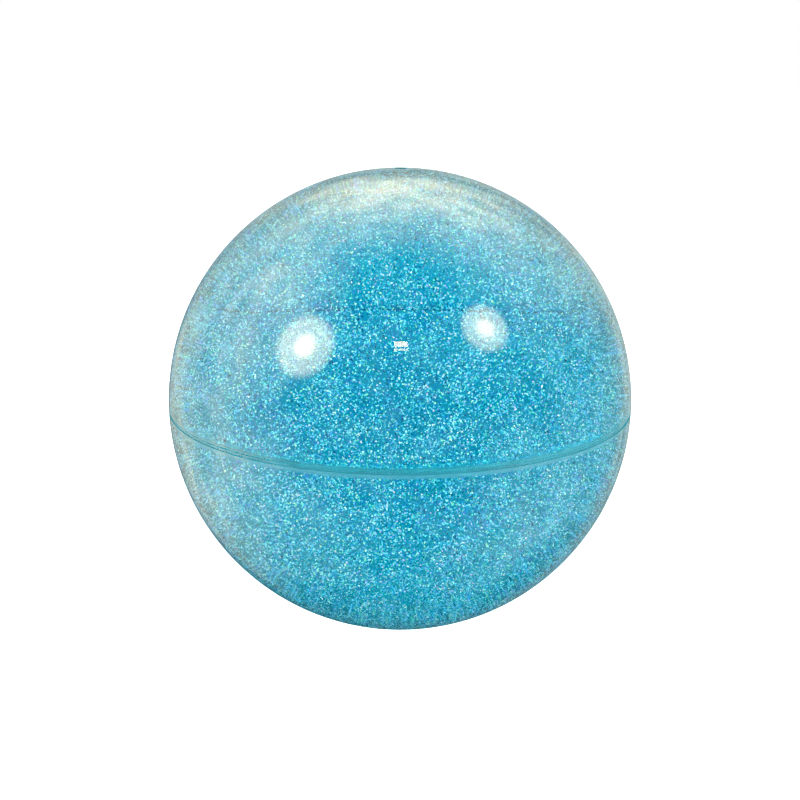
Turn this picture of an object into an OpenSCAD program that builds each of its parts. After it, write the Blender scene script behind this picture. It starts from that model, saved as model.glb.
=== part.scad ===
/* [Ball] */
// Outside diameter of the whole ball
ball_d = 100; // [80:1:120]

/* [Rubber cover] */
// Thickness of the clear rubber cover
cover_wall = 3.2; // [2.6:0.1:5]
// Height of the V groove round the outside of the seam
groove_h = 0.7; // [0.4:0.05:1.2]
// Depth of the V groove
groove_depth = 0.45; // [0.3:0.05:0.8]
// Depth of the V groove that the seam cement leaves open
groove_open = 0.2; // [0.1:0.05:0.25]
// Radial thickness of the tongue on the lower half's rim
tongue_w = 0.9; // [0.6:0.05:1.2]
// Height of the tongue above the seam
tongue_h = 1.2; // [0.6:0.1:2]
// Clearance between the tongue and its slot, on each side
tongue_gap = 0.05; // [0.03:0.01:0.1]

/* [Capsule] */
// Wall thickness of the hard clear capsule
capsule_wall = 1.8; // [1.4:0.1:2.6]
// Height of the lap joint between the capsule's halves
lap_h = 2; // [1:0.1:3]
// Thickness of the cement film in the lap joint
lap_film = 0.12; // [0.06:0.02:0.3]

/* [Fill port] */
// Diameter of the fill hole through the capsule's crown
fill_hole_d = 3; // [2:0.1:3.6]
// Diameter of the fill plug's head
plug_head_d = 4.8; // [4.2:0.1:6]
// Thickness of the fill plug's head
plug_head_h = 0.8; // [0.5:0.1:1.1]
// Clearance round each plug
plug_gap = 0.05; // [0.03:0.01:0.1]
// Diameter of the boss inside the capsule's crown
boss_d = 7; // [6:0.5:10]
// Height of the boss below the inside of the crown
boss_h = 0.9; // [0.5:0.1:1.5]
// Diameter of the port through the rubber cover
port_d = 2.2; // [1.6:0.1:3]
// Diameter of the dimple round the mouth of the port
dimple_d = 2.8; // [2.6:0.1:4]
// Depth of the dimple, down to the top of the pole plug
dimple_depth = 0.35; // [0.2:0.05:0.6]

/* [Glitter] */
// Width of a six-sided flake across its corners
flake_w = 0.4; // [0.2:0.05:1]
// Thickness of a flake
flake_t = 0.05; // [0.02:0.01:0.1]
// Number of flakes drawn in each tint
flakes_each = 36; // [12:1:60]

/* [Hidden] */
$fn = 128;

// Radii of the nested spheres, from the outside in
ball_r = ball_d / 2;
capsule_r = ball_r - cover_wall;
liquid_r = capsule_r - capsule_wall;

// Seam of the rubber cover: the flat seat lies between the capsule and the foot of the V groove
groove_root_r = ball_r - groove_depth;
cement_face_r = ball_r - groove_open;
tongue_mid_r = (capsule_r + groove_root_r) / 2;
tongue_inner_r = tongue_mid_r - tongue_w / 2;
tongue_outer_r = tongue_mid_r + tongue_w / 2;

// Lap joint of the capsule: the cement film stands at the middle of the wall
film_mid_r = liquid_r + capsule_wall / 2;
film_inner_r = film_mid_r - lap_film / 2;
film_outer_r = film_mid_r + lap_film / 2;

// Heights at the crown
head_top_z = sqrt(capsule_r * capsule_r - plug_head_d * plug_head_d / 4);
head_foot_z = head_top_z - plug_head_h;
boss_foot_z = liquid_r - boss_h;
pole_plug_top_z = ball_r - dimple_depth;

// Every cut runs past the face that it opens by this much
overrun = 1;

// Glitter: the cloud of flake centres stays one flake clear of the boss and the liquid's skin
TINTS = ["white", "lightcyan", "turquoise", "plum", "palegreen"];
flakes_all = flakes_each * len(TINTS);
cloud_r = boss_foot_z - flake_w;
golden_angle = 137.508;
golden_share = 0.618034;
flake_roll_step = 77;
flake_tilt_step = 53;

// Everything above the plane at height z, wide enough for the whole ball
module space_above(z) {
    translate([-ball_r - overrun, -ball_r - overrun, z])
        cube([ball_d + 2 * overrun, ball_d + 2 * overrun, ball_d]);
}

// Everything below the plane at height z
module space_below(z) {
    translate([0, 0, 2 * z]) mirror([0, 0, 1]) space_above(z);
}

// A flat ring about the ball's axis, from one height to another
module ring(inner_r, outer_r, from_z, to_z) {
    translate([0, 0, from_z])
        difference() {
            cylinder(r = outer_r, h = to_z - from_z);
            translate([0, 0, -overrun])
                cylinder(r = inner_r, h = to_z - from_z + 2 * overrun);
        }
}

// A round bar on the ball's axis, from one height to another
module bar(d, from_z, to_z) {
    translate([0, 0, from_z]) cylinder(d = d, h = to_z - from_z);
}

// The V groove round the seam, run on past the outside of the ball
module seam_groove() {
    mouth_r = ball_r + overrun;
    mouth_h = groove_h / 2 * (mouth_r - groove_root_r) / groove_depth;
    rotate_extrude()
        polygon([[groove_root_r, 0], [mouth_r, -mouth_h], [mouth_r, mouth_h]]);
}

// The cover's wall, whole, between the capsule and the outside
module cover_wall_shell() {
    difference() {
        sphere(r = ball_r);
        sphere(r = capsule_r);
        seam_groove();
    }
}

// The capsule's wall, whole, between the liquid and the cover
module capsule_wall_shell() {
    difference() {
        sphere(r = capsule_r);
        sphere(r = liquid_r);
    }
}

// Upper half of the rubber cover, slotted for the tongue and bored for the port at the pole
module cover_upper_half() {
    color([0.80, 0.90, 0.90, 0.45])
        difference() {
            cover_wall_shell();
            space_below(0);
            ring(tongue_inner_r - tongue_gap, tongue_outer_r + tongue_gap,
                 -overrun, tongue_h + tongue_gap);
            bar(port_d, 0, ball_r + overrun);
            translate([0, 0, pole_plug_top_z])
                cylinder(d1 = port_d, d2 = dimple_d, h = dimple_depth);
        }
}

// Lower half of the rubber cover, with the tongue standing on its rim
module cover_lower_half() {
    color([0.78, 0.88, 0.89, 0.45]) {
        difference() {
            cover_wall_shell();
            space_above(0);
        }
        ring(tongue_inner_r, tongue_outer_r, 0, tongue_h);
    }
}

// Ring of clear cement that fills the root of the V groove between the cover's halves
module seam_cement_ring() {
    face_h = groove_h / 2 * (cement_face_r - groove_root_r) / groove_depth;
    color([0.35, 0.60, 0.60, 0.8])
        rotate_extrude()
            polygon([[groove_root_r, 0], [cement_face_r, -face_h], [cement_face_r, face_h]]);
}

// Rubber plug that closes the port at the pole, its top sunk to make the dimple
module pole_plug() {
    color([0.55, 0.72, 0.72, 0.8])
        bar(port_d - 2 * plug_gap, head_top_z, pole_plug_top_z);
}

// Upper half of the hard capsule: its skirt reaches down inside the lower half's rim
module capsule_upper_half() {
    color([0.85, 0.95, 0.98, 0.4])
        difference() {
            union() {
                difference() {
                    capsule_wall_shell();
                    space_below(0);
                }
                intersection() {
                    capsule_wall_shell();
                    bar(2 * film_inner_r, -lap_h, overrun);
                }
                intersection() {
                    sphere(r = capsule_r);
                    bar(boss_d, boss_foot_z, capsule_r);
                }
            }
            bar(fill_hole_d, 0, ball_r);
            bar(plug_head_d + 2 * plug_gap, head_foot_z, ball_r);
        }
}

// Lower half of the hard capsule, rebated inside its rim to take the skirt
module capsule_lower_half() {
    color([0.83, 0.94, 0.97, 0.4])
        difference() {
            capsule_wall_shell();
            space_above(0);
            bar(2 * film_outer_r, -lap_h, overrun);
        }
}

// Milky film of cement in the lap joint, which shows as a plain band round the ball
module lap_cement_ring() {
    color([0.25, 0.65, 0.70, 0.8])
        ring(film_inner_r, film_outer_r, -lap_h, 0);
}

// Hard plug in the capsule's fill hole, its head let in flush with the crown
module fill_plug() {
    color([0.90, 0.96, 0.97, 0.7]) {
        bar(fill_hole_d - 2 * plug_gap, boss_foot_z, head_top_z);
        bar(plug_head_d, head_foot_z, head_top_z);
    }
}

// One six-sided flake about its own centre
module flake() {
    cylinder(d = flake_w, h = flake_t, center = true, $fn = 6);
}

// Share of a whole that is left when the whole ones are taken off
function part_share(x) = x - floor(x);

// Places flake number n: a golden spiral gives its direction, and its depth follows a golden step,
// so that the flakes fill the liquid evenly and none meets another
module placed_flake(n) {
    lift_share = 1 - 2 * (n + 0.5) / flakes_all;
    depth_share = pow(part_share((n + 0.5) * golden_share), 1 / 3);
    turn = n * golden_angle;
    rotate([0, acos(lift_share), turn])
        translate([0, 0, cloud_r * depth_share])
            rotate([n * flake_roll_step, n * flake_tilt_step, 0])
                flake();
}

// All the flakes of one tint, each a separate solid
module flakes_of_tint(tint) {
    for (i = [0 : flakes_each - 1])
        placed_flake(i * len(TINTS) + tint);
}

// The tinted liquid, filled up to the crown round the boss, with a pocket round every flake
module liquid_fill() {
    color([0.05, 0.60, 0.85, 0.6])
        difference() {
            sphere(r = liquid_r);
            bar(boss_d, boss_foot_z, ball_r);
            for (tint = [0 : len(TINTS) - 1])
                flakes_of_tint(tint);
        }
}

module glitter_pearl() { color(TINTS[0]) flakes_of_tint(0); }
module glitter_ice() { color(TINTS[1]) flakes_of_tint(1); }
module glitter_aqua() { color(TINTS[2]) flakes_of_tint(2); }
module glitter_lilac() { color(TINTS[3]) flakes_of_tint(3); }
module glitter_mint() { color(TINTS[4]) flakes_of_tint(4); }

cover_upper_half();
cover_lower_half();
seam_cement_ring();
pole_plug();
capsule_upper_half();
capsule_lower_half();
lap_cement_ring();
fill_plug();
liquid_fill();
glitter_pearl();
glitter_ice();
glitter_aqua();
glitter_lilac();
glitter_mint();
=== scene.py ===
"""Looks of a clear bouncy ball filled with blue liquid and glitter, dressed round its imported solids.

Lengths are in metres. The ball's centre is the origin, +Z runs through the plugged pole, and the
seam between the halves lies in the XY plane.
"""

from __future__ import annotations

import logging
import math
from dataclasses import dataclass, field
from enum import Enum

import bpy
import bmesh
from mathutils import Matrix, Vector


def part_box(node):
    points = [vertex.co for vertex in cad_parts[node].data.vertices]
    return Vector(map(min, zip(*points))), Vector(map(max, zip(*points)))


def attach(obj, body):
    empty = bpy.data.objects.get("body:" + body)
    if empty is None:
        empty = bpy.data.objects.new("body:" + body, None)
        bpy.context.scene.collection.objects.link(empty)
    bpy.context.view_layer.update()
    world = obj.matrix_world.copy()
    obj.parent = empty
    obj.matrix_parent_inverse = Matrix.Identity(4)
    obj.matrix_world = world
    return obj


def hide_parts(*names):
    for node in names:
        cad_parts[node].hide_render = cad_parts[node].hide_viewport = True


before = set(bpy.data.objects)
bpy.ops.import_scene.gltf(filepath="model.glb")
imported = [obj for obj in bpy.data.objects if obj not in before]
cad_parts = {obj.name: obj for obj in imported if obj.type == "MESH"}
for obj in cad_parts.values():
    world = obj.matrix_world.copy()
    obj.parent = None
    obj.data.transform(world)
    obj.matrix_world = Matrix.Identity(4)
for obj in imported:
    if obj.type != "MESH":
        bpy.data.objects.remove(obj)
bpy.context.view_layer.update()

LOG = logging.getLogger("bouncy_ball")
MM = 0.001
BODY = "root"
TOUCHING = 0.001 * MM
SHARP_EDGE = math.radians(25)
WHITE = (1.0, 1.0, 1.0)
FACE_MIDDLE = (0.5, 0.5, 0.0)

Colour = tuple[float, float, float]
Point = tuple[float, float]
Node = bpy.types.Node
Socket = bpy.types.NodeSocket
Piece = bpy.types.Object


@dataclass(frozen=True)
class BallSizes:
    """Real sizes of the ball that several pieces share.

    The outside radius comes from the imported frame, and every other size is the part's own.
    """

    ball_r: float
    cover_wall: float = 3.2 * MM
    groove_h: float = 0.7 * MM
    groove_depth: float = 0.45 * MM
    groove_open: float = 0.2 * MM
    tongue_w: float = 0.9 * MM
    tongue_h: float = 1.2 * MM
    tongue_gap: float = 0.05 * MM
    capsule_wall: float = 1.8 * MM
    lap_h: float = 2.0 * MM
    lap_film: float = 0.12 * MM
    fill_hole_d: float = 3.0 * MM
    plug_head_d: float = 4.8 * MM
    plug_head_h: float = 0.8 * MM
    plug_gap: float = 0.05 * MM
    boss_d: float = 7.0 * MM
    boss_h: float = 0.9 * MM
    port_d: float = 2.2 * MM
    dimple_d: float = 2.8 * MM
    dimple_depth: float = 0.35 * MM

    @property
    def capsule_r(self) -> float:
        """Outside radius of the capsule, where the cover is bonded to it."""
        return self.ball_r - self.cover_wall

    @property
    def liquid_r(self) -> float:
        """Radius of the space that the liquid fills."""
        return self.capsule_r - self.capsule_wall

    @property
    def groove_root_r(self) -> float:
        """Radius at the root of the V groove round the seam."""
        return self.ball_r - self.groove_depth

    @property
    def cement_face_r(self) -> float:
        """Radius of the seam cement's outer face."""
        return self.ball_r - self.groove_open

    @property
    def tongue_mid_r(self) -> float:
        """Radius at the middle of the tongue."""
        return (self.capsule_r + self.groove_root_r) / 2

    @property
    def film_mid_r(self) -> float:
        """Radius at the middle of the cement film in the lap joint."""
        return self.liquid_r + self.capsule_wall / 2

    @property
    def head_top_z(self) -> float:
        """Height of the top of the fill plug's head."""
        return math.sqrt(self.capsule_r ** 2 - self.plug_head_d ** 2 / 4)

    @property
    def head_foot_z(self) -> float:
        """Height of the underside of the fill plug's head."""
        return self.head_top_z - self.plug_head_h

    @property
    def boss_foot_z(self) -> float:
        """Height of the foot of the boss inside the crown."""
        return self.liquid_r - self.boss_h

    @property
    def pole_plug_top_z(self) -> float:
        """Height of the pole plug's top, at the bottom of the dimple."""
        return self.ball_r - self.dimple_depth


class Graph:
    """A node tree, with short ways to add nodes to it and to link them."""

    def __init__(self, tree: bpy.types.NodeTree) -> None:
        """Keeps the tree that the nodes go into."""
        self.tree = tree

    def feed(self, socket: Socket, source: object) -> None:
        """Links an output to an input, or sets a plain value on it.

        Args:
            socket: The input.
            source: An output, a number or a sequence of numbers.
        """
        if isinstance(source, Socket):
            self.tree.links.new(source, socket)
        elif socket.type == "RGBA" and len(source) == 3:
            socket.default_value = (*source, 1.0)
        else:
            socket.default_value = source

    def node(self, kind: str, inputs: dict | None = None, **settings: object) -> Node:
        """Adds a node.

        Args:
            kind: Blender's name of the node type.
            inputs: What goes into its inputs, by their names or numbers.
            **settings: Plain properties of the node.

        Returns:
            The new node.
        """
        node = self.tree.nodes.new(kind)
        for name, value in settings.items():
            setattr(node, name, value)
        for place, source in (inputs or {}).items():
            self.feed(node.inputs[place], source)
        return node

    def shader(self, kind: str, inputs: dict | None = None) -> Socket:
        """Adds a shader and gives its output."""
        return self.node(f"ShaderNode{kind}", inputs).outputs[0]

    def group(self, tree: bpy.types.NodeTree, **values: float) -> bpy.types.NodeOutputs:
        """Places a shared effect, with _ for each space in an input's name, and gives its outputs."""
        inputs = {name.replace("_", " "): value for name, value in values.items()}
        return self.node("ShaderNodeGroup", inputs, node_tree=tree).outputs

    def maths(self, operation: str, *values: object) -> Socket:
        """Gives the result of a sum of outputs or numbers."""
        return self.node("ShaderNodeMath", dict(enumerate(values)), operation=operation).outputs[0]

    def vector(self, *parts: object) -> Socket:
        """Joins three outputs or numbers into a vector."""
        return self.node("ShaderNodeCombineXYZ", dict(enumerate(parts))).outputs[0]

    def dot(self, first: object, second: object) -> Socket:
        """Gives the dot product of two vectors."""
        inputs = {0: first, 1: second}
        return self.node("ShaderNodeVectorMath", inputs, operation="DOT_PRODUCT").outputs["Value"]

    def between(self, share: object, first: object, second: object) -> Socket:
        """Mixes two numbers. A share of 1 gives the second one."""
        return self.node("ShaderNodeMix", {0: share, 2: first, 3: second}).outputs[0]

    def blend(self, share: object, first: object, second: object) -> Socket:
        """Mixes two colours. A share of 1 gives the second one."""
        inputs = {0: share, 6: first, 7: second}
        return self.node("ShaderNodeMix", inputs, data_type="RGBA").outputs[2]

    def lay_over(self, share: object, first: Socket, second: Socket) -> Socket:
        """Mixes two shaders. A share of 1 gives the second one."""
        return self.shader("MixShader", {0: share, 1: first, 2: second})

    def stretch(self, value: object, start: Point, result: Point, soft: str = "LINEAR") -> Socket:
        """Maps a value from one range to another, held at the ends."""
        inputs = dict(enumerate((value, *start, *result)))
        return self.node("ShaderNodeMapRange", inputs, interpolation_type=soft).outputs[0]

    def noise(self, at: Socket, scale: object, detail: float, distortion: float = 0.0) -> Socket:
        """Gives uneven numbers round a half that depend on the place alone."""
        inputs = {"Vector": at, "Scale": scale, "Detail": detail, "Distortion": distortion}
        return self.node("ShaderNodeTexNoise", inputs).outputs["Fac"]


class SharedEffects:
    """Shader node groups that several finishes use with their own values, and the materials made."""

    SCUFF_SPAN = (0.62, 0.75)
    SCUFF_DEPTH = 0.12
    SMEAR_SPAN = (0.35, 0.75)

    def __init__(self) -> None:
        """Builds every group once."""
        self.made: dict[Finish, bpy.types.Material] = {}
        self.marks = self._surface_marks()
        self.cloud = self._cloud()

    @staticmethod
    def _group(name: str, inputs: dict[str, float], outputs: tuple[str, ...]) -> tuple[Graph, Node, Node]:
        """Starts a shader group that takes and gives numbers.

        Args:
            name: The group's name.
            inputs: Name and default of each input.
            outputs: Name of each output.

        Returns:
            The graph, its input node and its output node.
        """
        tree = bpy.data.node_groups.new(name, "ShaderNodeTree")
        for label, value in inputs.items():
            item = tree.interface.new_socket(label, in_out="INPUT", socket_type="NodeSocketFloat")
            item.default_value = value
        for label in outputs:
            tree.interface.new_socket(label, in_out="OUTPUT", socket_type="NodeSocketFloat")
        graph = Graph(tree)
        return graph, graph.node("NodeGroupInput"), graph.node("NodeGroupOutput")

    def _surface_marks(self) -> bpy.types.NodeTree:
        """Makes the group for a moulded surface: slow ripples, fine scuffs and handling smears.

        Returns:
            A group that puts out a bump height from 0 to 1 and a roughness.
        """
        inputs = {"Ripple Scale": 60.0, "Scuff Scale": 900.0, "Low": 0.01, "High": 0.05}
        graph, start, end = self._group("surface_marks", inputs, ("Height", "Roughness"))
        given = start.outputs
        at = graph.node("ShaderNodeTexCoord").outputs["Object"]
        ripple = graph.noise(at, given["Ripple Scale"], detail=1.0)
        scuff = graph.noise(at, given["Scuff Scale"], detail=3.0, distortion=1.2)
        fine = graph.stretch(scuff, self.SCUFF_SPAN, (0.0, self.SCUFF_DEPTH))
        graph.feed(end.inputs["Height"], graph.maths("SUBTRACT", ripple, fine))
        smear = graph.stretch(ripple, self.SMEAR_SPAN, (0.0, 1.0))
        spread = graph.maths("SUBTRACT", given["High"], given["Low"])
        graph.feed(end.inputs["Roughness"], graph.maths("MULTIPLY_ADD", smear, spread, given["Low"]))
        return graph.tree

    def _cloud(self) -> bpy.types.NodeTree:
        """Makes the group for cloudy patches, as in milky cement.

        Returns:
            A group that puts out a mask from 0 to 1.
        """
        inputs = {"Scale": 150.0, "Clear": 0.35, "Milky": 0.7}
        graph, start, end = self._group("cloudiness", inputs, ("Mask",))
        given = start.outputs
        at = graph.node("ShaderNodeTexCoord").outputs["Object"]
        noise = graph.noise(at, given["Scale"], detail=4.0, distortion=0.6)
        mask = graph.stretch(noise, (given["Clear"], given["Milky"]), (0.0, 1.0), "SMOOTHSTEP")
        graph.feed(end.inputs["Mask"], mask)
        return graph.tree

    def dressed(self, finish: Finish) -> bpy.types.Material:
        """Gives the material of a finish, which is built only once.

        Args:
            finish: The finish.

        Returns:
            Its material.
        """
        if finish not in self.made:
            self.made[finish] = bpy.data.materials.new(finish.name)
            graph = empty_graph(self.made[finish])
            graph.node("ShaderNodeOutputMaterial", finish.shaders(graph, self))
        return self.made[finish]


def empty_graph(owner: bpy.types.ID) -> Graph:
    """Gives a material, a lamp or the world a node tree without nodes.

    Args:
        owner: What the tree belongs to.

    Returns:
        Its graph.
    """
    owner.use_nodes = True
    owner.node_tree.nodes.clear()
    return Graph(owner.node_tree)


def linked(name: str, data: bpy.types.ID) -> Piece:
    """Makes an object and adds it to the scene.

    Args:
        name: The object's name.
        data: Its mesh, lamp or camera.

    Returns:
        The object.
    """
    thing = bpy.data.objects.new(name, data)
    bpy.context.scene.collection.objects.link(thing)
    return thing


@dataclass(frozen=True)
class Finish:
    """What a surface looks like.

    Attributes:
        name: The material's name.
    """

    name: str

    def shaders(self, graph: Graph, effects: SharedEffects) -> dict[str, Socket]:
        """Makes the finish's shaders. Each kind of finish has its own.

        Args:
            graph: The graph of the material.
            effects: The shared node groups.

        Returns:
            What goes into the inputs of the material's output.
        """
        raise NotImplementedError


@dataclass(frozen=True)
class ClearFinish(Finish):
    """Clear rubber or plastic where it meets air or liquid.

    Attributes:
        ior: Index of refraction against what the surface meets.
        tint: Colour of the light that passes.
        smooth: Roughness where the surface is clean.
        smeared: Roughness where it is smeared.
        ripple_scale: Ripples in each metre.
        bump: How strong the ripples look. With 0 there are none.
        ripple_depth: Depth of a ripple.
    """

    ior: float
    tint: Colour
    smooth: float = 0.008
    smeared: float = 0.04
    ripple_scale: float = 120.0
    bump: float = 0.02
    ripple_depth: float = 0.1 * MM

    def shaders(self, graph: Graph, effects: SharedEffects) -> dict[str, Socket]:
        """Makes the shader.

        Args:
            graph: The graph of the material.
            effects: The shared node groups.

        Returns:
            What goes into the inputs of the material's output.
        """
        marks = graph.group(
            effects.marks, Ripple_Scale=self.ripple_scale, Low=self.smooth, High=self.smeared
        )
        inputs = {"Strength": self.bump, "Distance": self.ripple_depth, "Height": marks["Height"]}
        bump = {"Normal": graph.node("ShaderNodeBump", inputs).outputs["Normal"]} if self.bump else {}
        inputs = {"Base Color": self.tint, "IOR": self.ior, "Roughness": marks["Roughness"], **bump}
        return {"Surface": graph.shader("BsdfPrincipled", {"Transmission Weight": 1.0, **inputs})}


@dataclass(frozen=True)
class FilmFinish(Finish):
    """A face in the clear wall where light goes straight on but for a cloudy film. Most are bonded faces
    with a faint film; a dark, thick one is painted shade.

    Attributes:
        colour: Colour of the film.
        thin: Share of the film that shows where it is clear.
        thick: Share of the film that shows where it is cloudy.
        scale: Clouds in each metre.
        inner_share: How much of the film shows from inside, against outside.
        rough: Roughness of the film's face.
        shine: How strongly the film's face shines.
        glow_share: How much of the film lets light through, against sending it back.
    """

    colour: Colour
    thin: float = 0.0
    thick: float = 0.02
    scale: float = 150.0
    inner_share: float = 1.0
    rough: float = 0.5
    shine: float = 0.15
    glow_share: float = 0.5

    def shaders(self, graph: Graph, effects: SharedEffects) -> dict[str, Socket]:
        """Makes the shaders.

        Args:
            graph: The graph of the material.
            effects: The shared node groups.

        Returns:
            What goes into the inputs of the material's output.
        """
        cloud = graph.group(effects.cloud, Scale=self.scale)["Mask"]
        share = graph.stretch(cloud, (0.0, 1.0), (self.thin, self.thick))
        if self.inner_share < 1.0:
            behind = graph.node("ShaderNodeNewGeometry").outputs["Backfacing"]
            seen = graph.stretch(behind, (0.0, 1.0), (1.0, self.inner_share))
            share = graph.maths("MULTIPLY", share, seen)
        inputs = {"Base Color": self.colour, "Roughness": self.rough, "Specular IOR Level": self.shine}
        face = graph.shader("BsdfPrincipled", inputs)
        film = graph.lay_over(self.glow_share, face, graph.shader("BsdfTranslucent", {0: self.colour}))
        return {"Surface": graph.lay_over(share, graph.shader("BsdfTransparent"), film)}


@dataclass(frozen=True)
class LiquidFinish(ClearFinish):
    """Blue liquid. Its colour comes from its depth, and the capsule's wet wall does the bending.

    Attributes:
        depth_tint: What stays of each colour, before the density counts.
        density: How fast colour is taken from light, for each metre.
    """

    depth_tint: Colour = WHITE
    density: float = 0.0

    def shaders(self, graph: Graph, effects: SharedEffects) -> dict[str, Socket]:
        """Makes the shaders of the skin, which lamps shine through, and of the dye.

        Args:
            graph: The graph of the material.
            effects: The shared node groups.

        Returns:
            What goes into the inputs of the material's output.
        """
        skin = super().shaders(graph, effects)["Surface"]
        from_lamps = graph.node("ShaderNodeLightPath").outputs["Is Shadow Ray"]
        inputs = {"Color": self.depth_tint, "Density": self.density}
        return {
            "Surface": graph.lay_over(from_lamps, skin, graph.shader("BsdfTransparent")),
            "Volume": graph.shader("VolumeAbsorption", inputs),
        }


@dataclass(frozen=True)
class FlakeFinish(Finish):
    """Pearly film glitter: part of the light shines through it and part comes back.

    Attributes:
        first: One end of the flakes' range of colours.
        second: The other end of it.
        metal: How much of the surface shines as metal does.
        through: Share of the light that comes through the film.
        rough: Roughness of a flake where it is clear and where it is cloudy.
        clouds: Cloudy places in each metre.
    """

    first: Colour
    second: Colour
    metal: float = 0.8
    through: float = 0.28
    rough: Point = (0.14, 0.34)
    clouds: float = 2500.0

    def shaders(self, graph: Graph, effects: SharedEffects) -> dict[str, Socket]:
        """Makes the shaders of the flakes' faces and of the light through them.

        Args:
            graph: The graph of the material.
            effects: The shared node groups.

        Returns:
            What goes into the inputs of the material's output.
        """
        tone = graph.node("ShaderNodeAttribute", attribute_name=FlakeTree.TONE).outputs["Fac"]
        colour = graph.blend(tone, self.first, self.second)
        cloud = graph.group(effects.cloud, Scale=self.clouds, Clear=0.3, Milky=0.75)["Mask"]
        rough = graph.stretch(cloud, (0.0, 1.0), self.rough)
        inputs = {"Base Color": colour, "Metallic": self.metal, "Roughness": rough}
        film = graph.shader("BsdfTranslucent", {0: colour})
        return {"Surface": graph.lay_over(self.through, graph.shader("BsdfPrincipled", inputs), film)}


def arc(radius: float, start_z: float, end_z: float, steps: int) -> list[Point]:
    """Gives points along a circle about the ball's centre, evenly spaced by angle.

    Args:
        radius: The circle's radius.
        start_z: Height of the first point.
        end_z: Height of the last point.
        steps: Number of stretches between the points.

    Returns:
        Points as distance from the axis and height.
    """
    first = math.asin(max(-1.0, min(1.0, start_z / radius)))
    last = math.asin(max(-1.0, min(1.0, end_z / radius)))
    angles = [first + (last - first) * i / steps for i in range(steps + 1)]
    return [(max(radius * math.cos(a), 0.0), radius * math.sin(a)) for a in angles]


@dataclass
class Profile:
    """Half section of a turned piece, drawn stretch by stretch, each with its own finish.

    Attributes:
        points: The section's points, as distance from the axis and height.
        finishes: The finish of each stretch between two points.
    """

    points: list[Point] = field(default_factory=list)
    finishes: list[Finish] = field(default_factory=list)

    def run(self, points: list[Point], finish: Finish) -> None:
        """Adds a stretch that goes on from the last point.

        Args:
            points: Its points. A first one that repeats the last point is dropped.
            finish: The finish of its faces.
        """
        for point in points:
            if self.points:
                if math.dist(self.points[-1], point) < TOUCHING:
                    continue
                self.finishes.append(finish)
            self.points.append(point)

    def turned(self, name: str, effects: SharedEffects, steps: int) -> Piece:
        """Turns the section about the ball's axis into a closed mesh object.

        Args:
            name: The object's name.
            effects: The shared node groups and materials.
            steps: Number of steps round the axis.

        Returns:
            The object, linked to the scene.
        """
        points = list(self.points)
        if math.dist(points[0], points[-1]) < TOUCHING:
            points.pop()
        mesh = bpy.data.meshes.new(name)
        work = bmesh.new()
        turns = [2 * math.pi * i / steps for i in range(steps)]
        rings = []
        for r, z in points:
            if r < TOUCHING:
                rings.append([work.verts.new((0.0, 0.0, z))])
            else:
                rings.append([work.verts.new((r * math.cos(t), r * math.sin(t), z)) for t in turns])
        kinds = list(dict.fromkeys(self.finishes))
        for index, finish in enumerate(self.finishes):
            low, high = rings[index], rings[(index + 1) % len(rings)]
            for i in range(steps):
                j = (i + 1) % steps
                corners = [low[i % len(low)], low[j % len(low)], high[j % len(high)], high[i % len(high)]]
                face = work.faces.new(list(dict.fromkeys(corners)))
                face.material_index = kinds.index(finish)
                face.smooth = True
        bmesh.ops.recalc_face_normals(work, faces=work.faces)
        work.to_mesh(mesh)
        work.free()
        mesh.set_sharp_from_angle(angle=SHARP_EDGE)
        for finish in kinds:
            mesh.materials.append(effects.dressed(finish))
        return linked(name, mesh)


def place_piece(piece: Piece, node: str, slot: str, clear: bool = False) -> None:
    """Rides a piece on the ball and hides the CAD node that it replaces.

    Args:
        piece: The finished piece.
        node: The CAD node that it replaces.
        slot: A material slot of the record. Not used.
        clear: True if lamps shine straight through the piece.
    """
    piece.visible_shadow = not clear
    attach(piece, BODY)
    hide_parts(node)
    LOG.info("%s: %d faces", piece.name, len(piece.data.polygons))


@dataclass
class Turned:
    """One turned piece and what it stands for.

    Attributes:
        node: The CAD node that it replaces.
        look: A word that its name adds to the node's.
        slot: The name of a material slot of the record, handed to place_piece.
        section: Its half section.
        steps: Number of steps round the axis.
        clear: True if lamps shine straight through it.
    """

    node: str
    look: str
    slot: str
    section: Profile
    steps: int = 256
    clear: bool = True


@dataclass
class Assembly:
    """A sub-assembly whose pieces are all turned about the ball's axis.

    Attributes:
        sizes: Sizes that the pieces share.
    """

    sizes: BallSizes

    def pieces(self) -> list[Turned]:
        """Draws every piece. Each sub-assembly has its own."""
        raise NotImplementedError

    def build(self, effects: SharedEffects) -> None:
        """Builds, dresses and places every piece.

        Args:
            effects: The shared node groups and materials.
        """
        for piece in self.pieces():
            made = piece.section.turned(f"{piece.node}_{piece.look}", effects, piece.steps)
            place_piece(made, piece.node, piece.slot, piece.clear)


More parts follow.
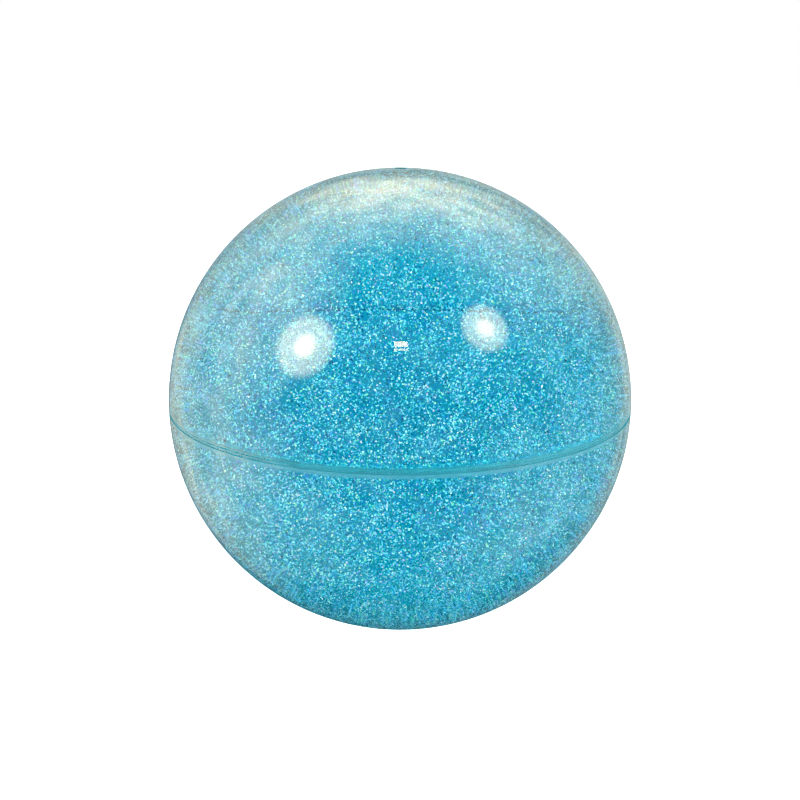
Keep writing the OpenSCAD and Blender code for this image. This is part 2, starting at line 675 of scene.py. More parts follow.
@dataclass
class RubberCover(Assembly):
    """Two clear rubber halves, the cement in the groove between them, and the plug at the pole.

    Attributes:
        outer_steps: Steps along the outside of one half.
        inner_steps: Steps along the inside of one half.
        lip_h: Height of the band above the groove that takes the groove's painted shade.
        skin: Finish of the outside.
        bond: Finish where the rubber is bonded to the capsule.
        seat: Finish of the lower half's rim and tongue, and of the seam cement's back.
        slot: Finish of the upper half's rim and slot, where light just goes on.
        painted_groove_shade: Painted shade: a dark film on the groove's open flanks, the lip above them
            and the port's wall, standing in for the shade that falls there.
        cement: Finish of the seam cement's open face.
        plug: Finish of the pole plug's top.
        plug_side: Finish of its side and foot.
    """

    outer_steps: int = 96
    inner_steps: int = 32
    lip_h: float = 0.12 * MM
    skin: ClearFinish = ClearFinish("clear_rubber", 1.5, (0.985, 0.995, 0.99), bump=0.006)
    bond: FilmFinish = FilmFinish("rubber_bond", (0.6, 0.85, 0.9), 0.0, 0.01)
    seat: FilmFinish = FilmFinish("seam_seat", (0.01, 0.34, 0.46), 0.02, 0.08, 260.0)
    slot: ClearFinish = ClearFinish("seam_slot", 1.0, (0.55, 1.0, 1.0), 0.0, 0.004, 260.0, 0.0)
    # Dark film that is painted shade in the groove and in the port round the pole plug.
    painted_groove_shade: FilmFinish = FilmFinish("groove_flank", (0.01, 0.13, 0.15), 0.80, 0.98, 500.0, 0.35)
    cement: ClearFinish = ClearFinish("seam_cement", 1.5, (0.45, 0.72, 0.74), 0.03, 0.09, 900.0, 0.2)
    plug: ClearFinish = ClearFinish("plug_rubber", 1.5, (0.62, 0.78, 0.8), 0.03, 0.08, 900.0, 0.1)
    plug_side: FilmFinish = FilmFinish("plug_side", (0.2, 0.4, 0.42), 0.06, 0.14, 900.0)

    def flank(self, radius: float, side: int = 1) -> Point:
        """Gives the point at a radius on the groove's flank, the lower one if the side is -1."""
        s = self.sizes
        return radius, side * s.groove_h / 2 * (radius - s.groove_root_r) / s.groove_depth

    def upper_half(self) -> Profile:
        """Draws the upper half: slotted for the tongue, and bored for the port.

        Returns:
            Its section.
        """
        s = self.sizes
        slot_in = s.tongue_mid_r - s.tongue_w / 2 - s.tongue_gap
        slot_out = s.tongue_mid_r + s.tongue_w / 2 + s.tongue_gap
        slot_top = s.tongue_h + s.tongue_gap
        port_r, dimple_r = s.port_d / 2, s.dimple_d / 2
        port_foot = math.sqrt(s.capsule_r ** 2 - port_r ** 2)
        dimple_rim = math.sqrt(s.ball_r ** 2 - dimple_r ** 2)
        mouth_z = self.flank(s.ball_r)[1]
        lip_z = mouth_z + self.lip_h
        half = Profile()
        half.run([(s.groove_root_r, 0.0), self.flank(s.cement_face_r)], self.slot)
        # Painted shade on the upper flank of the groove and on the lip above it.
        half.run(arc(s.ball_r, mouth_z, lip_z, 1), self.painted_groove_shade)
        half.run(arc(s.ball_r, lip_z, dimple_rim, self.outer_steps), self.skin)
        # Painted shade on the port's wall, above the pole plug.
        half.run([(port_r, s.pole_plug_top_z)], self.painted_groove_shade)
        half.run([(port_r, port_foot)], self.bond)
        half.run(arc(s.capsule_r, port_foot, 0.0, self.inner_steps), self.bond)
        half.run([(slot_in, 0.0), (slot_in, slot_top), (slot_out, slot_top)], self.slot)
        half.run([(slot_out, 0.0), (s.groove_root_r, 0.0)], self.slot)
        return half

    def lower_half(self) -> Profile:
        """Draws the lower half, with the tongue on its rim.

        Returns:
            Its section.
        """
        s = self.sizes
        tongue_in, tongue_out = s.tongue_mid_r - s.tongue_w / 2, s.tongue_mid_r + s.tongue_w / 2
        half = Profile()
        half.run(arc(s.ball_r, -s.ball_r, self.flank(s.ball_r, -1)[1], self.outer_steps), self.skin)
        # Painted shade on the lower flank of the groove.
        half.run([self.flank(s.cement_face_r, -1)], self.painted_groove_shade)
        half.run([(s.groove_root_r, 0.0), (tongue_out, 0.0), (tongue_out, s.tongue_h)], self.seat)
        half.run([(tongue_in, s.tongue_h), (tongue_in, 0.0), (s.capsule_r, 0.0)], self.seat)
        half.run(arc(s.capsule_r, 0.0, -s.capsule_r, self.inner_steps), self.bond)
        return half

    def seam_ring(self) -> Profile:
        """Draws the cement in the root of the groove.

        Returns:
            Its section.
        """
        upper, lower = self.flank(self.sizes.cement_face_r), self.flank(self.sizes.cement_face_r, -1)
        ring = Profile()
        ring.run([lower, upper], self.cement)
        ring.run([(self.sizes.groove_root_r, 0.0), lower], self.seat)
        return ring

    def pole_plug(self) -> Profile:
        """Draws the plug in the port, with a chamfer as wide as its clearance.

        Returns:
            Its section.
        """
        s = self.sizes
        plug_r, top_z = s.port_d / 2 - s.plug_gap, s.pole_plug_top_z
        plug = Profile()
        plug.run([(0.0, s.head_top_z), (plug_r, s.head_top_z)], self.plug_side)
        plug.run([(plug_r, top_z - s.plug_gap)], self.plug_side)
        plug.run([(plug_r - s.plug_gap, top_z), (0.0, top_z)], self.plug)
        return plug

    def pieces(self) -> list[Turned]:
        """Draws every piece of the cover.

        Returns:
            The pieces.
        """
        return [
            Turned("cover_upper_half", "clear", "cover_rubber", self.upper_half()),
            Turned("cover_lower_half", "clear", "cover_rubber", self.lower_half()),
            Turned("seam_cement_ring", "clear", "seam_cement", self.seam_ring()),
            Turned("pole_plug", "rubber", "pole_rubber", self.pole_plug(), steps=64),
        ]


@dataclass
class Capsule(Assembly):
    """Hard clear capsule in two halves, the milky cement in its lap joint, and its fill plug.

    Attributes:
        inner_steps: Steps along the inside of one half.
        outer_steps: Steps along the outside of one half.
        skirt_steps: Steps along the inside of the lap joint's skirt.
        film_gap: How far the cement's mesh stays off the walls beside it.
        wet: Finish of the inside, against the liquid.
        bond: Finish of every bonded face.
        lap: Finish of the lap cement.
        lap_inside: Finish of its inner face.
        plug: Finish of the fill plug.
    """

    inner_steps: int = 64
    outer_steps: int = 32
    skirt_steps: int = 2
    film_gap: float = 0.01 * MM
    wet: ClearFinish = ClearFinish("capsule_wet", 1.125, WHITE, 0.0, 0.01)
    bond: FilmFinish = FilmFinish("capsule_bond", (0.6, 0.85, 0.9), 0.0, 0.01)
    lap: FilmFinish = FilmFinish("lap_cement", (0.03, 0.175, 0.23), 0.86, 0.95, 240.0, 0.2)
    lap_inside: FilmFinish = FilmFinish("lap_inside", (0.02, 0.50, 0.54), 0.06, 0.18, 240.0)
    plug: FilmFinish = FilmFinish("plug_plastic", (0.3, 0.6, 0.65), 0.02, 0.08, 700.0)

    def upper_half(self) -> Profile:
        """Draws the upper half, with the skirt, the boss and the hole for the fill plug.

        Returns:
            Its section.
        """
        s = self.sizes
        film_in = s.film_mid_r - s.lap_film / 2
        recess_r = s.plug_head_d / 2 + s.plug_gap
        recess_top = math.sqrt(s.capsule_r ** 2 - recess_r ** 2)
        hole_r, boss_r = s.fill_hole_d / 2, s.boss_d / 2
        boss_top = math.sqrt(s.liquid_r ** 2 - boss_r ** 2)
        half = Profile()
        half.run([(film_in, -s.lap_h), (film_in, 0.0), (s.capsule_r, 0.0)], self.bond)
        half.run(arc(s.capsule_r, 0.0, recess_top, self.outer_steps), self.bond)
        half.run([(recess_r, s.head_foot_z), (hole_r, s.head_foot_z)], self.bond)
        half.run([(hole_r, s.boss_foot_z)], self.bond)
        half.run([(boss_r, s.boss_foot_z), (boss_r, boss_top)], self.wet)
        half.run(arc(s.liquid_r, boss_top, 0.0, self.inner_steps), self.wet)
        half.run(arc(s.liquid_r, 0.0, -s.lap_h, self.skirt_steps), self.wet)
        half.run([(film_in, -s.lap_h)], self.bond)
        return half

    def lower_half(self) -> Profile:
        """Draws the lower half, with the rebate that takes the skirt.

        Returns:
            Its section.
        """
        s = self.sizes
        film_out = s.film_mid_r + s.lap_film / 2
        inside = arc(s.liquid_r, -s.lap_h, -s.liquid_r, self.inner_steps)
        half = Profile()
        half.run(arc(s.capsule_r, -s.capsule_r, 0.0, self.outer_steps), self.bond)
        half.run([(film_out, 0.0), (film_out, -s.lap_h), inside[0]], self.bond)
        half.run(inside, self.wet)
        return half

    def lap_ring(self) -> Profile:
        """Draws the cement in the lap joint.

        Returns:
            Its section.
        """
        s = self.sizes
        half_w = s.lap_film / 2 - self.film_gap
        inner, outer = s.film_mid_r - half_w, s.film_mid_r + half_w
        foot, head = self.film_gap - s.lap_h, -self.film_gap
        ring = Profile()
        ring.run([(inner, foot), (outer, foot), (outer, head), (inner, head)], self.lap)
        ring.run([(inner, foot)], self.lap_inside)
        return ring

    def fill_plug(self) -> Profile:
        """Draws the headed plug in the fill hole.

        Returns:
            Its section.
        """
        s = self.sizes
        shaft_r, head_r = s.fill_hole_d / 2 - s.plug_gap, s.plug_head_d / 2
        plug = Profile()
        plug.run([(0.0, s.boss_foot_z), (shaft_r, s.boss_foot_z), (shaft_r, s.head_foot_z)], self.plug)
        plug.run([(head_r, s.head_foot_z), (head_r, s.head_top_z), (0.0, s.head_top_z)], self.plug)
        return plug

    def pieces(self) -> list[Turned]:
        """Draws every piece of the capsule.

        Returns:
            The pieces.
        """
        return [
            Turned("capsule_upper_half", "clear", "capsule_plastic", self.upper_half()),
            Turned("capsule_lower_half", "clear", "capsule_plastic", self.lower_half()),
            Turned("lap_cement_ring", "milky", "lap_cement", self.lap_ring(), clear=False),
            Turned("fill_plug", "clear", "plug_plastic", self.fill_plug(), steps=64),
        ]


@dataclass
class Filling(Assembly):
    """The blue liquid, which fills the capsule up to the crown and round the boss.

    Attributes:
        skin_gap: How far the liquid's mesh stays off the capsule's.
        steps: Steps along the outside.
        body: The liquid's finish.
    """

    skin_gap: float = 0.02 * MM
    steps: int = 96
    body: LiquidFinish = LiquidFinish(
        "blue_liquid", 1.0, WHITE, 0.0, 0.004, 90.0, 0.0, depth_tint=(0.0, 0.929, 0.9725), density=120.0
    )

    def pieces(self) -> list[Turned]:
        """Draws the liquid.

        Returns:
            Its one piece.
        """
        radius = self.sizes.liquid_r - self.skin_gap
        rim_r = self.sizes.boss_d / 2 + self.skin_gap
        foot_z = self.sizes.boss_foot_z - self.skin_gap
        fill = Profile()
        fill.run(arc(radius, -radius, math.sqrt(radius ** 2 - rim_r ** 2), self.steps), self.body)
        fill.run([(rim_r, foot_z), (0.0, foot_z)], self.body)
        return [Turned("liquid_fill", "blue", "tinted_liquid", fill, clear=False)]


class FlakeTree:
    """The Geometry Nodes tree that scatters flakes through a shell of the liquid."""

    TONE = "tone"
    SWIRL_SPAN = (0.38, 0.62)
    SWIRL_SHARES = (0.32, 1.0)
    WIDTHS = (0.7, 1.15)
    NUMBERS = (
        "Inner Radius", "Outer Radius", "Boss Radius", "Boss Foot", "Width", "Thickness", "Tilt", "Swirls"
    )
    INPUTS = {
        "Flake": "NodeSocketObject",
        "Finish": "NodeSocketMaterial",
        "Count": "NodeSocketInt",
        "Seed": "NodeSocketInt",
        **dict.fromkeys(NUMBERS, "NodeSocketFloat"),
    }

    def __init__(self) -> None:
        """Builds the tree."""
        self.tree = bpy.data.node_groups.new("flake_cloud", "GeometryNodeTree")
        for label, kind in self.INPUTS.items():
            self.tree.interface.new_socket(label, in_out="INPUT", socket_type=kind)
        self.tree.interface.new_socket("Geometry", in_out="OUTPUT", socket_type="NodeSocketGeometry")
        self.graph = Graph(self.tree)
        self.given = self.graph.node("NodeGroupInput").outputs
        self.where = self.graph.node("GeometryNodeInputPosition").outputs[0]
        self.graph.node("NodeGroupOutput", {0: self._flakes()})

    def _chance(self, step: int, low: object, high: object) -> Socket:
        """Gives each point a random number of its own, with another step for each use."""
        inputs = {2: low, 3: high, "Seed": self.graph.maths("ADD", self.given["Seed"], step)}
        return self.graph.node("FunctionNodeRandomValue", inputs, data_type="FLOAT").outputs[1]

    def _places(self) -> Socket:
        """Spreads points evenly through the shell between the two radii.

        Returns:
            The points' output.
        """
        graph, maths = self.graph, self.graph.maths
        lift, turn = self._chance(1, -1.0, 1.0), self._chance(2, 0.0, 2 * math.pi)
        cubes = [maths("POWER", self.given[label], 3.0) for label in ("Inner Radius", "Outer Radius")]
        radius = maths("POWER", self._chance(3, *cubes), 1 / 3)
        flat = maths("SQRT", maths("SUBTRACT", 1.0, maths("MULTIPLY", lift, lift)))
        x, y = [maths("MULTIPLY", flat, maths(kind, turn)) for kind in ("COSINE", "SINE")]
        inputs = {0: graph.vector(x, y, lift), "Scale": radius}
        at = graph.node("ShaderNodeVectorMath", inputs, operation="SCALE").outputs[0]
        inputs = {"Count": self.given["Count"], "Position": at}
        return graph.node("GeometryNodePoints", inputs).outputs[0]

    def _left_out(self) -> Socket:
        """Tells which points lie in the boss or where the swirls run thin.

        Returns:
            An output that is above 0 for them.
        """
        graph, maths, given = self.graph, self.graph.maths, self.given
        x, y, z = graph.node("ShaderNodeSeparateXYZ", {0: self.where}).outputs
        off_axis = maths("SQRT", maths("MULTIPLY_ADD", y, y, maths("MULTIPLY", x, x)))
        beside = maths("LESS_THAN", off_axis, given["Boss Radius"])
        above = maths("GREATER_THAN", z, given["Boss Foot"])
        swirl = graph.noise(self.where, given["Swirls"], detail=3.0, distortion=1.5)
        share = graph.stretch(swirl, self.SWIRL_SPAN, self.SWIRL_SHARES)
        thinned = maths("GREATER_THAN", self._chance(9, 0.0, 1.0), share)
        return maths("MAXIMUM", maths("MULTIPLY", beside, above), thinned)

    def _turn(self) -> Socket:
        """Lays each flake along the wall and leans it by chance.

        Returns:
            The rotation's output.
        """
        graph, tilt = self.graph, self.given["Tilt"]
        less, spin = graph.maths("MULTIPLY", tilt, -1.0), self._chance(6, 0.0, 2 * math.pi)
        lean = graph.vector(self._chance(4, less, tilt), self._chance(5, less, tilt), spin)
        inputs = {"Vector": self.where}
        facing = graph.node("FunctionNodeAlignRotationToVector", inputs, axis="Z").outputs[0]
        inputs = {0: facing, 1: graph.node("FunctionNodeEulerToRotation", {0: lean}).outputs[0]}
        return graph.node("FunctionNodeRotateRotation", inputs, rotation_space="LOCAL").outputs[0]

    def _flakes(self) -> Socket:
        """Puts a flake with a tone of its own on every point that is kept, and dresses it.

        Returns:
            The flakes' output.
        """
        graph, given = self.graph, self.given
        inputs = {"Geometry": self._places(), "Selection": self._left_out()}
        kept = graph.node("GeometryNodeDeleteGeometry", inputs, domain="POINT").outputs[0]
        width = graph.maths("MULTIPLY", given["Width"], self._chance(7, *self.WIDTHS))
        inputs = {
            "Points": kept,
            "Instance": graph.node("GeometryNodeObjectInfo", {0: given["Flake"]}).outputs["Geometry"],
            "Rotation": self._turn(),
            "Scale": graph.vector(width, width, given["Thickness"]),
        }
        flakes = graph.node("GeometryNodeInstanceOnPoints", inputs).outputs[0]
        inputs = {"Geometry": flakes, "Name": self.TONE, "Value": self._chance(8, 0.0, 1.0)}
        settings = {"data_type": "FLOAT", "domain": "INSTANCE"}
        toned = graph.node("GeometryNodeStoreNamedAttribute", inputs, **settings).outputs[0]
        real = graph.node("GeometryNodeRealizeInstances", {0: toned}).outputs[0]
        inputs = {"Geometry": real, "Material": given["Finish"]}
        return graph.node("GeometryNodeSetMaterial", inputs).outputs[0]

    def run(self, name: str, values: dict[str, object]) -> Piece:
        """Runs the tree once and keeps what it makes as a plain mesh.

        Args:
            name: The piece's name.
            values: A value for each of the tree's inputs.

        Returns:
            The piece.
        """
        piece = linked(name, bpy.data.meshes.new(name))
        scatter = piece.modifiers.new("scatter", "NODES")
        scatter.node_group = self.tree
        for item in self.tree.interface.items_tree:
            if item.in_out == "INPUT":
                scatter[item.identifier] = values[item.name]
        graph = bpy.context.evaluated_depsgraph_get()
        made = bpy.data.meshes.new_from_object(
            piece.evaluated_get(graph), preserve_all_data_layers=True, depsgraph=graph
        )
        piece.modifiers.remove(scatter)
        piece.data = made
        made.name = name
        return piece


@dataclass(frozen=True)
class Tint:
    """One tint of glitter.

    Attributes:
        name: A plain word for the tint.
        batches: Number of pieces that hold its flakes.
        first: One end of the flakes' range of colours.
        second: The other end of it.
    """

    name: str
    batches: int
    first: Colour
    second: Colour


@dataclass
class GlitterCloud:
    """Six-sided flakes afloat in the outer part of the liquid, where they can be seen.

    Attributes:
        sizes: Sizes that the pieces share.
        flake_w: Width of a flake across its corners.
        flake_t: Thickness of a flake.
        shallow: Depth below the capsule's wall where the flakes start.
        deep: Depth where they end.
        tilt: Largest tilt of a flake away from lying along the wall, in radians.
        each: Flakes tried for in one batch. Some are left out where the swirls run thin.
        seed_step: How far the seeds of two batches are apart.
        clearance: How far a flake's middle stays off the boss.
        swirls: Swirls in each metre.
        tints: The tints.
    """

    sizes: BallSizes
    flake_w: float = 0.33 * MM
    flake_t: float = 0.03 * MM
    shallow: float = 0.25 * MM
    deep: float = 6.5 * MM
    tilt: float = math.radians(60)
    each: int = 30000
    seed_step: int = 100
    clearance: float = 0.3 * MM
    swirls: float = 130.0
    tints: tuple[Tint, ...] = (
        Tint("pearl", 3, (0.44, 0.78, 0.92), (1.0, 0.90, 0.82)),
        Tint("ice", 2, (0.08, 0.50, 0.70), (0.45, 0.86, 0.96)),
        Tint("aqua", 2, (0.0, 0.22, 0.30), (0.08, 0.60, 0.66)),
        Tint("lilac", 1, (0.40, 0.54, 0.92), (1.0, 0.68, 0.86)),
        Tint("mint", 1, (0.22, 0.72, 0.60), (0.92, 1.0, 0.62)),
    )

    def flake(self) -> Piece:
        """Makes one unit flake: six sides, 1 across its corners and 1 thick.

        Returns:
            An object that the clouds copy.
        """
        verts = [
            (math.cos(math.radians(turn)) / 2, math.sin(math.radians(turn)) / 2, height)
            for first, height in ((0, 0.5), (60, -0.5))
            for turn in range(first, 360, 120)
        ]
        faces = [(0, 1, 2), (5, 4, 3)]
        for i in range(3):
            faces.append((i, 3 + i, (i + 1) % 3))
            faces.append((3 + i, 3 + (i + 1) % 3, (i + 1) % 3))
        mesh = bpy.data.meshes.new("flake_pattern")
        mesh.from_pydata(verts, [], faces)
        work = bmesh.new()
        work.from_mesh(mesh)
        bmesh.ops.recalc_face_normals(work, faces=work.faces)
        work.to_mesh(mesh)
        work.free()
        return bpy.data.objects.new("flake_pattern", mesh)

    def build(self, effects: SharedEffects) -> None:
        """Builds, dresses and places every batch of glitter.

        Args:
            effects: The shared node groups and materials.
        """
        tree, pattern = FlakeTree(), self.flake()
        values = {
            "Flake": pattern,
            "Count": self.each,
            "Seed": 0,
            "Inner Radius": self.sizes.liquid_r - self.deep,
            "Outer Radius": self.sizes.liquid_r - self.shallow,
            "Boss Radius": self.sizes.boss_d / 2 + self.clearance,
            "Boss Foot": self.sizes.boss_foot_z - self.clearance,
            "Width": self.flake_w,
            "Thickness": self.flake_t,
            "Tilt": self.tilt,
            "Swirls": self.swirls,
        }
        for tint in self.tints:
            finish = FlakeFinish(f"glitter_{tint.name}", tint.first, tint.second)
            values["Finish"] = effects.dressed(finish)
            for batch in range(1, tint.batches + 1):
                values["Seed"] += self.seed_step
                piece = tree.run(f"glitter_{tint.name}_{batch}", values)
                place_piece(piece, f"glitter_{tint.name}", f"flake_{tint.name}")
        bpy.data.objects.remove(pattern)


class LampFace(Enum):
    """Shape of a lamp's face, by Blender's name for it."""

    ROUND = "ELLIPSE"
    SQUARE = "RECTANGLE"


@dataclass(frozen=True)
class Lamp:
    """A studio lamp, placed where the ball mirrors it.

    Attributes:
        name: The lamp's name.
        pixel: Where its reflection stands in the photograph, in pixels.
        half_size: Half the reflection's width and half its height, in pixels.
        glow: How bright the lamp's face is away from its bulb.
        bulb: How bright the face is over its bulb.
        bulb_share: How far the bulb's glow reaches, as a share of the way to the rim.
        rim_share: Where a round face starts to fade, as a share of the way to the rim.
        distance: How far it stands from the ball's surface.
        face: The shape of its face.
    """

    name: str
    pixel: Point
    half_size: Point
    glow: float
    bulb: float = 0.0
    bulb_share: float = 0.0
    rim_share: float = 0.64
    distance: float = 0.6
    face: LampFace = LampFace.ROUND


@dataclass(frozen=True)
class SoftLight:
    """A wide soft patch of light in the surroundings.

    Attributes:
        toward: Direction from the ball to the patch.
        glow: How bright its middle is.
        full: Angle from its middle within which it is brightest, in degrees.
        gone: Angle from its middle where it ends, in degrees.
    """

    toward: Colour
    glow: float
    full: float
    gone: float


@dataclass
class Studio:
    """Camera, floor, sky and lamps. None of them is part of the ball.

    Ranges of height, and of how far a direction is in line with the camera, run from -1 to 1.

    Attributes:
        ball_r: The ball's outside radius.
        disc_centre: Middle of the ball in the photograph, in pixels.
        disc_r: The ball's radius in the photograph, in pixels.
        picture: Width of the photograph, in pixels.
        far: How many radii the camera stands off.
        lift: The camera's height above the ball's equator, in degrees.
        roll: The photograph's slant, in degrees.
        sensor: Width of the camera's sensor, in millimetres.
        clip: Nearest and farthest that the camera sees.
        floor_half: Half the floor's width.
        paper: How pale the floor's paper is.
        paper_glow: How much light it gives by itself.
        room: How bright the mirrored room is below the ball and above it.
        room_rise: Heights between which it grows brighter.
        warmth: Colour of what the ball's skin mirrors.
        rim_tone: The same at the ball's very edge.
        rim_turn: How far out of line with the camera the edge's tone fades in.
        lamp_colour: Colour of the lamps.
        flakes: Light that reaches the flakes from below and from above.
        flakes_rise: Heights between which it changes.
        beyond: Light behind the flakes, from the sides and in line with the camera.
        beyond_turn: How far in line with the camera it changes.
        coolness: Colour of the light inside the ball.
        mottle: How uneven the mirrored patches are.
        mottle_scale: How fine their unevenness is.
        mottle_span: Numbers of the noise that give its ends.
        fall: How steeply a patch of light fades.
        lamps: The lamps.
        patches: Soft patches that the ball's skin mirrors.
        behind: A soft patch seen through the ball.
        keys: Small strong patches that make the flakes sparkle.
    """

    ball_r: float
    disc_centre: Point = (400.0, 398.5)
    disc_r: float = 231.5
    picture: float = 800.0
    far: float = 5.5
    lift: float = 15.8
    roll: float = 0.16
    sensor: float = 36.0
    clip: Point = (0.01, 50.0)
    floor_half: float = 3.0
    paper: float = 0.9
    paper_glow: float = 0.7
    room: Point = (0.04, 0.08)
    room_rise: Point = (-0.6, 0.3)
    warmth: Colour = (1.0, 0.70, 0.36)
    rim_tone: Colour = (0.60, 0.62, 0.58)
    rim_turn: Point = (-0.97, -0.82)
    lamp_colour: Colour = (1.0, 0.84, 0.52)
    flakes: Point = (0.44, 0.25)
    flakes_rise: Point = (-0.8, 0.6)
    beyond: Point = (0.30, 0.66)
    beyond_turn: Point = (0.68, 0.98)
    coolness: Colour = (0.86, 0.92, 0.91)
    mottle: float = 0.42
    mottle_scale: float = 6.0
    mottle_span: Point = (0.3, 0.7)
    fall: float = 1.5
    lamps: tuple[Lamp, ...] = (
        Lamp("left_softbox", (304.5, 346.0), (34.0, 34.0), 9.5, 34.0, 0.50),
        Lamp("right_softbox", (485.0, 328.0), (25.5, 25.5), 8.5, 25.0, 0.60),
        Lamp("upper_bar", (401.0, 344.2), (6.8, 2.8), 20.0, face=LampFace.SQUARE),
        Lamp("lower_bar", (401.0, 349.8), (7.4, 1.3), 12.0, face=LampFace.SQUARE),
    )
    patches: tuple[SoftLight, ...] = (
        SoftLight((0.0, 0.54, 0.842), 3.9, 4.0, 40.0),
        SoftLight((0.50, 0.48, 0.72), 1.7, 6.0, 44.0),
        SoftLight((-0.50, 0.48, 0.72), 2.0, 6.0, 46.0),
        SoftLight((-0.811, -0.051, 0.583), 3.2, 14.0, 40.0),
        SoftLight((-0.883, 0.386, -0.271), 1.6, 18.0, 48.0),
        SoftLight((0.65, 0.755, -0.083), 0.6, 12.0, 50.0),
        SoftLight((0.85, -0.10, -0.50), 0.5, 10.0, 40.0),
        SoftLight((-0.968, -0.19, -0.16), 1.5, 10.0, 36.0),
        SoftLight((-0.704, -0.275, -0.654), 0.7, 14.0, 42.0),
        SoftLight((0.704, -0.275, -0.654), 0.6, 14.0, 42.0),
        SoftLight((0.704, 0.108, 0.700), 0.9, 14.0, 40.0),
        SoftLight((-0.25, 0.96, 0.08), 0.45, 8.0, 42.0),
        SoftLight((0.20, 0.97, 0.03), 0.30, 8.0, 36.0),
    )
    behind: tuple[SoftLight, ...] = (SoftLight((0.0, 0.85, -0.53), 0.17, 5.0, 22.0),)
    keys: tuple[SoftLight, ...] = (
        SoftLight((-0.731, -0.418, 0.540), 24.0, 8.0, 21.0),
        SoftLight((0.645, -0.378, 0.664), 21.0, 8.0, 21.0),
        SoftLight((0.62, -0.60, -0.50), 29.0, 7.0, 19.0),
        SoftLight((-0.62, -0.56, -0.55), 24.0, 7.0, 19.0),
        SoftLight((-0.97, 0.10, 0.10), 15.0, 7.0, 19.0),
        SoftLight((0.96, -0.15, 0.05), 25.0, 7.0, 19.0),
        SoftLight((0.55, 0.62, 0.56), 6.0, 7.0, 19.0),
        SoftLight((-0.60, 0.66, 0.45), 6.0, 7.0, 19.0),
        SoftLight((0.05, 0.85, -0.50), 11.0, 7.0, 19.0),
    )

    @property
    def focal(self) -> float:
        """Focal length in pixels."""
        return self.disc_r * math.sqrt(self.far ** 2 - 1)

    def eye(self) -> Vector:
        """Gives the camera's place."""
        lift = math.radians(self.lift)
        return Vector((0.0, -math.cos(lift), math.sin(lift))) * self.far * self.ball_r

    def axes(self) -> Matrix:
        """Gives the camera's axes.

        Returns:
            A matrix whose columns point right, up and back.
        """
        back = self.eye().normalized()
        right = Vector((1.0, 0.0, 0.0))
        spin = Matrix.Rotation(math.radians(self.roll), 3, back)
        return spin @ Matrix((right, back.cross(right), back)).transposed()

    def mirrored(self, pixel: Point) -> tuple[Vector, Vector]:
        """Follows a pixel's ray to the ball and off it.

        Args:
            pixel: A place in the photograph.

        Returns:
            The point where the ray meets the ball, and the direction that it is mirrored to.
        """
        x, y = pixel[0] - self.disc_centre[0], self.disc_centre[1] - pixel[1]
        ray = (self.axes() @ Vector((x, y, -self.focal))).normalized()
        eye = self.eye()
        along = -eye.dot(ray)
        reach = math.sqrt(along ** 2 - eye.length_squared + self.ball_r ** 2)
        hit = eye + ray * (along - reach)
        out = hit.normalized()
        return hit, ray - 2 * ray.dot(out) * out

    def camera(self) -> None:
        """Makes the camera and gives it to the scene."""
        data = bpy.data.cameras.new("camera")
        data.sensor_width = self.sensor
        data.lens = self.focal / self.picture * self.sensor
        data.shift_y = (self.disc_centre[1] - self.picture / 2) / self.picture
        data.clip_start, data.clip_end = self.clip
        bpy.context.scene.camera = linked("camera", data)
        bpy.context.scene.camera.matrix_world = Matrix.Translation(self.eye()) @ self.axes().to_4x4()

    def hang(self, lamp: Lamp) -> None:
        """Makes one lamp so that its mirror image has the size and place that it names.

        Args:
            lamp: The lamp.
        """
        hit, away = self.mirrored(lamp.pixel)
        x, y = lamp.pixel
        sides = []
        for shift in ((lamp.half_size[0], 0.0), (0.0, -lamp.half_size[1])):
            start, other = self.mirrored((x + shift[0], y + shift[1]))
            reach = lamp.distance / other.dot(away)
            sides.append((start + other * reach) - (hit + away * lamp.distance))
        data = bpy.data.lights.new(lamp.name, "AREA")
        data.shape = lamp.face.value
        data.size, data.size_y = 2 * sides[0].length, 2 * sides[1].length
        area = data.size * data.size_y * (math.pi / 4 if lamp.face is LampFace.ROUND else 1.0)
        data.energy = lamp.glow * math.pi * area
        data.color = self.lamp_colour
        self.shade(data, lamp)
        back = away.normalized()
        across = sides[0].normalized()
        across = (across - back * across.dot(back)).normalized()
        turn = Matrix((across, back.cross(across), back)).transposed().to_4x4()
        light = linked(lamp.name, data)
        light.matrix_world = Matrix.Translation(hit + away * lamp.distance) @ turn
        light.visible_camera = light.visible_transmission = light.visible_diffuse = False

    @staticmethod
    def shade(data: bpy.types.Light, lamp: Lamp) -> None:
        """Makes a lamp's face brighter over its bulb, and a round one fade towards the rim.

        Args:
            data: The lamp's data.
            lamp: What the lamp should look like.
        """
        graph = empty_graph(data)
        face = graph.node("ShaderNodeNewGeometry").outputs["Parametric"]
        inputs = {0: face, 1: FACE_MIDDLE}
        off = graph.node("ShaderNodeVectorMath", inputs, operation="DISTANCE").outputs["Value"]
        brightest = max(lamp.bulb / lamp.glow, 1.0)
        glow = graph.stretch(off, (lamp.bulb_share / 2, 0.0), (1.0, brightest), "SMOOTHERSTEP")
        if lamp.face is LampFace.ROUND:
            fade = graph.stretch(off, (0.5, lamp.rim_share / 2), (0.0, 1.0), "SMOOTHSTEP")
            glow = graph.maths("MULTIPLY", glow, fade)
        graph.node("ShaderNodeOutputLight", {"Surface": graph.shader("Emission", {"Strength": glow})})

    def glow_of(self, graph: Graph, toward: Socket, patches: tuple[SoftLight, ...]) -> Socket:
        """Adds up the light of soft patches in one direction.

        Args:
            graph: The graph of the surroundings.
            toward: The direction's output.
            patches: The patches.

        Returns:
            The summed light's output.
        """
        total = 0.0
        for patch in patches:
            turn = graph.dot(toward, Vector(patch.toward).normalized())
            ends = math.cos(math.radians(patch.gone)), math.cos(math.radians(patch.full))
            near = graph.maths("POWER", graph.stretch(turn, ends, (0.0, 1.0)), self.fall)
            total = graph.maths("MULTIPLY_ADD", near, patch.glow, total)
        return total

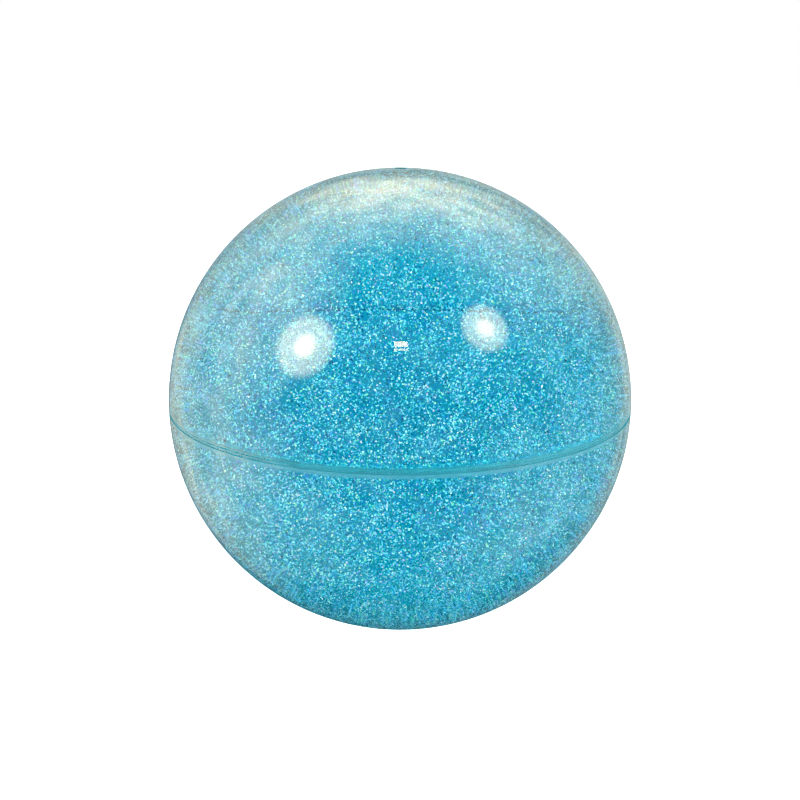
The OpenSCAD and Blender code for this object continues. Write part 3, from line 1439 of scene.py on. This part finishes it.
    def sky(self) -> None:
        """Makes the surroundings.

        They are white to the camera. The ball's skin mirrors a dim room with soft patches of light,
        and its inside is lit by a brighter room with patches of its own.
        """
        world = bpy.data.worlds.new("studio")
        bpy.context.scene.world = world
        graph = empty_graph(world)
        toward = graph.node("ShaderNodeTexCoord").outputs["Generated"]
        height = graph.node("ShaderNodeSeparateXYZ", {0: toward}).outputs[2]
        path = graph.node("ShaderNodeLightPath").outputs
        inside, seen = path["Is Transmission Ray"], path["Is Camera Ray"]
        outside = graph.maths("SUBTRACT", 1.0, inside)
        mirror = graph.maths("MULTIPLY", path["Is Glossy Ray"], outside)
        clouds = graph.noise(toward, self.mottle_scale, detail=3.0)
        uneven = graph.stretch(clouds, self.mottle_span, (1 - self.mottle, 1 + self.mottle))
        patches = graph.maths("MULTIPLY", self.glow_of(graph, toward, self.patches), uneven)
        mirrored = graph.maths("ADD", graph.stretch(height, self.room_rise, self.room), patches)
        flakes = graph.stretch(height, self.flakes_rise, self.flakes)
        lit = graph.maths("ADD", self.glow_of(graph, toward, self.keys), flakes)
        ahead = graph.dot(toward, self.eye().normalized())
        across = graph.stretch(graph.maths("ABSOLUTE", ahead), self.beyond_turn, self.beyond)
        beyond = graph.maths("ADD", across, self.glow_of(graph, toward, self.behind))
        level = graph.between(mirror, graph.between(inside, lit, beyond), mirrored)
        rim = graph.stretch(ahead, self.rim_turn, (1.0, 0.0))
        hue = graph.blend(mirror, self.coolness, graph.blend(rim, self.warmth, self.rim_tone))
        inputs = {"Color": graph.blend(seen, hue, WHITE), "Strength": graph.between(seen, level, 1.0)}
        graph.node("ShaderNodeOutputWorld", {"Surface": graph.shader("Background", inputs)})

    def floor(self) -> None:
        """Makes the pale floor that the ball stands on."""
        half, low = self.floor_half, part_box("cover_lower_half")[0].z
        corners = [(-half, -half, low), (half, -half, low), (half, half, low), (-half, half, low)]
        mesh = bpy.data.meshes.new("floor")
        mesh.from_pydata(corners, [], [(0, 1, 2, 3)])
        material = bpy.data.materials.new("floor_paper")
        graph = empty_graph(material)
        matt = graph.shader("BsdfDiffuse", {"Color": (self.paper,) * 3})
        glow = graph.shader("Emission", {"Color": WHITE, "Strength": self.paper_glow})
        both = graph.shader("AddShader", {0: matt, 1: glow})
        graph.node("ShaderNodeOutputMaterial", {"Surface": both})
        mesh.materials.append(material)
        paper = linked("floor", mesh)
        paper.visible_glossy = paper.visible_transmission = paper.visible_shadow = False

    def build(self) -> None:
        """Sets up everything round the ball."""
        bpy.context.scene.view_settings.view_transform = "Standard"
        self.camera()
        self.sky()
        self.floor()
        for lamp in self.lamps:
            self.hang(lamp)
        LOG.info("studio: %d lamps", len(self.lamps))


def main() -> None:
    """Builds the studio, then the ball's pieces in order."""
    logging.basicConfig(level=logging.INFO, format="%(name)s: %(message)s")
    sizes = BallSizes(ball_r=-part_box("cover_lower_half")[0].z)
    studio = Studio(sizes.ball_r)
    studio.build()
    effects = SharedEffects()
    RubberCover(sizes).build(effects)
    Capsule(sizes).build(effects)
    Filling(sizes).build(effects)
    GlitterCloud(sizes).build(effects)


if __name__ == "__main__":
    main()
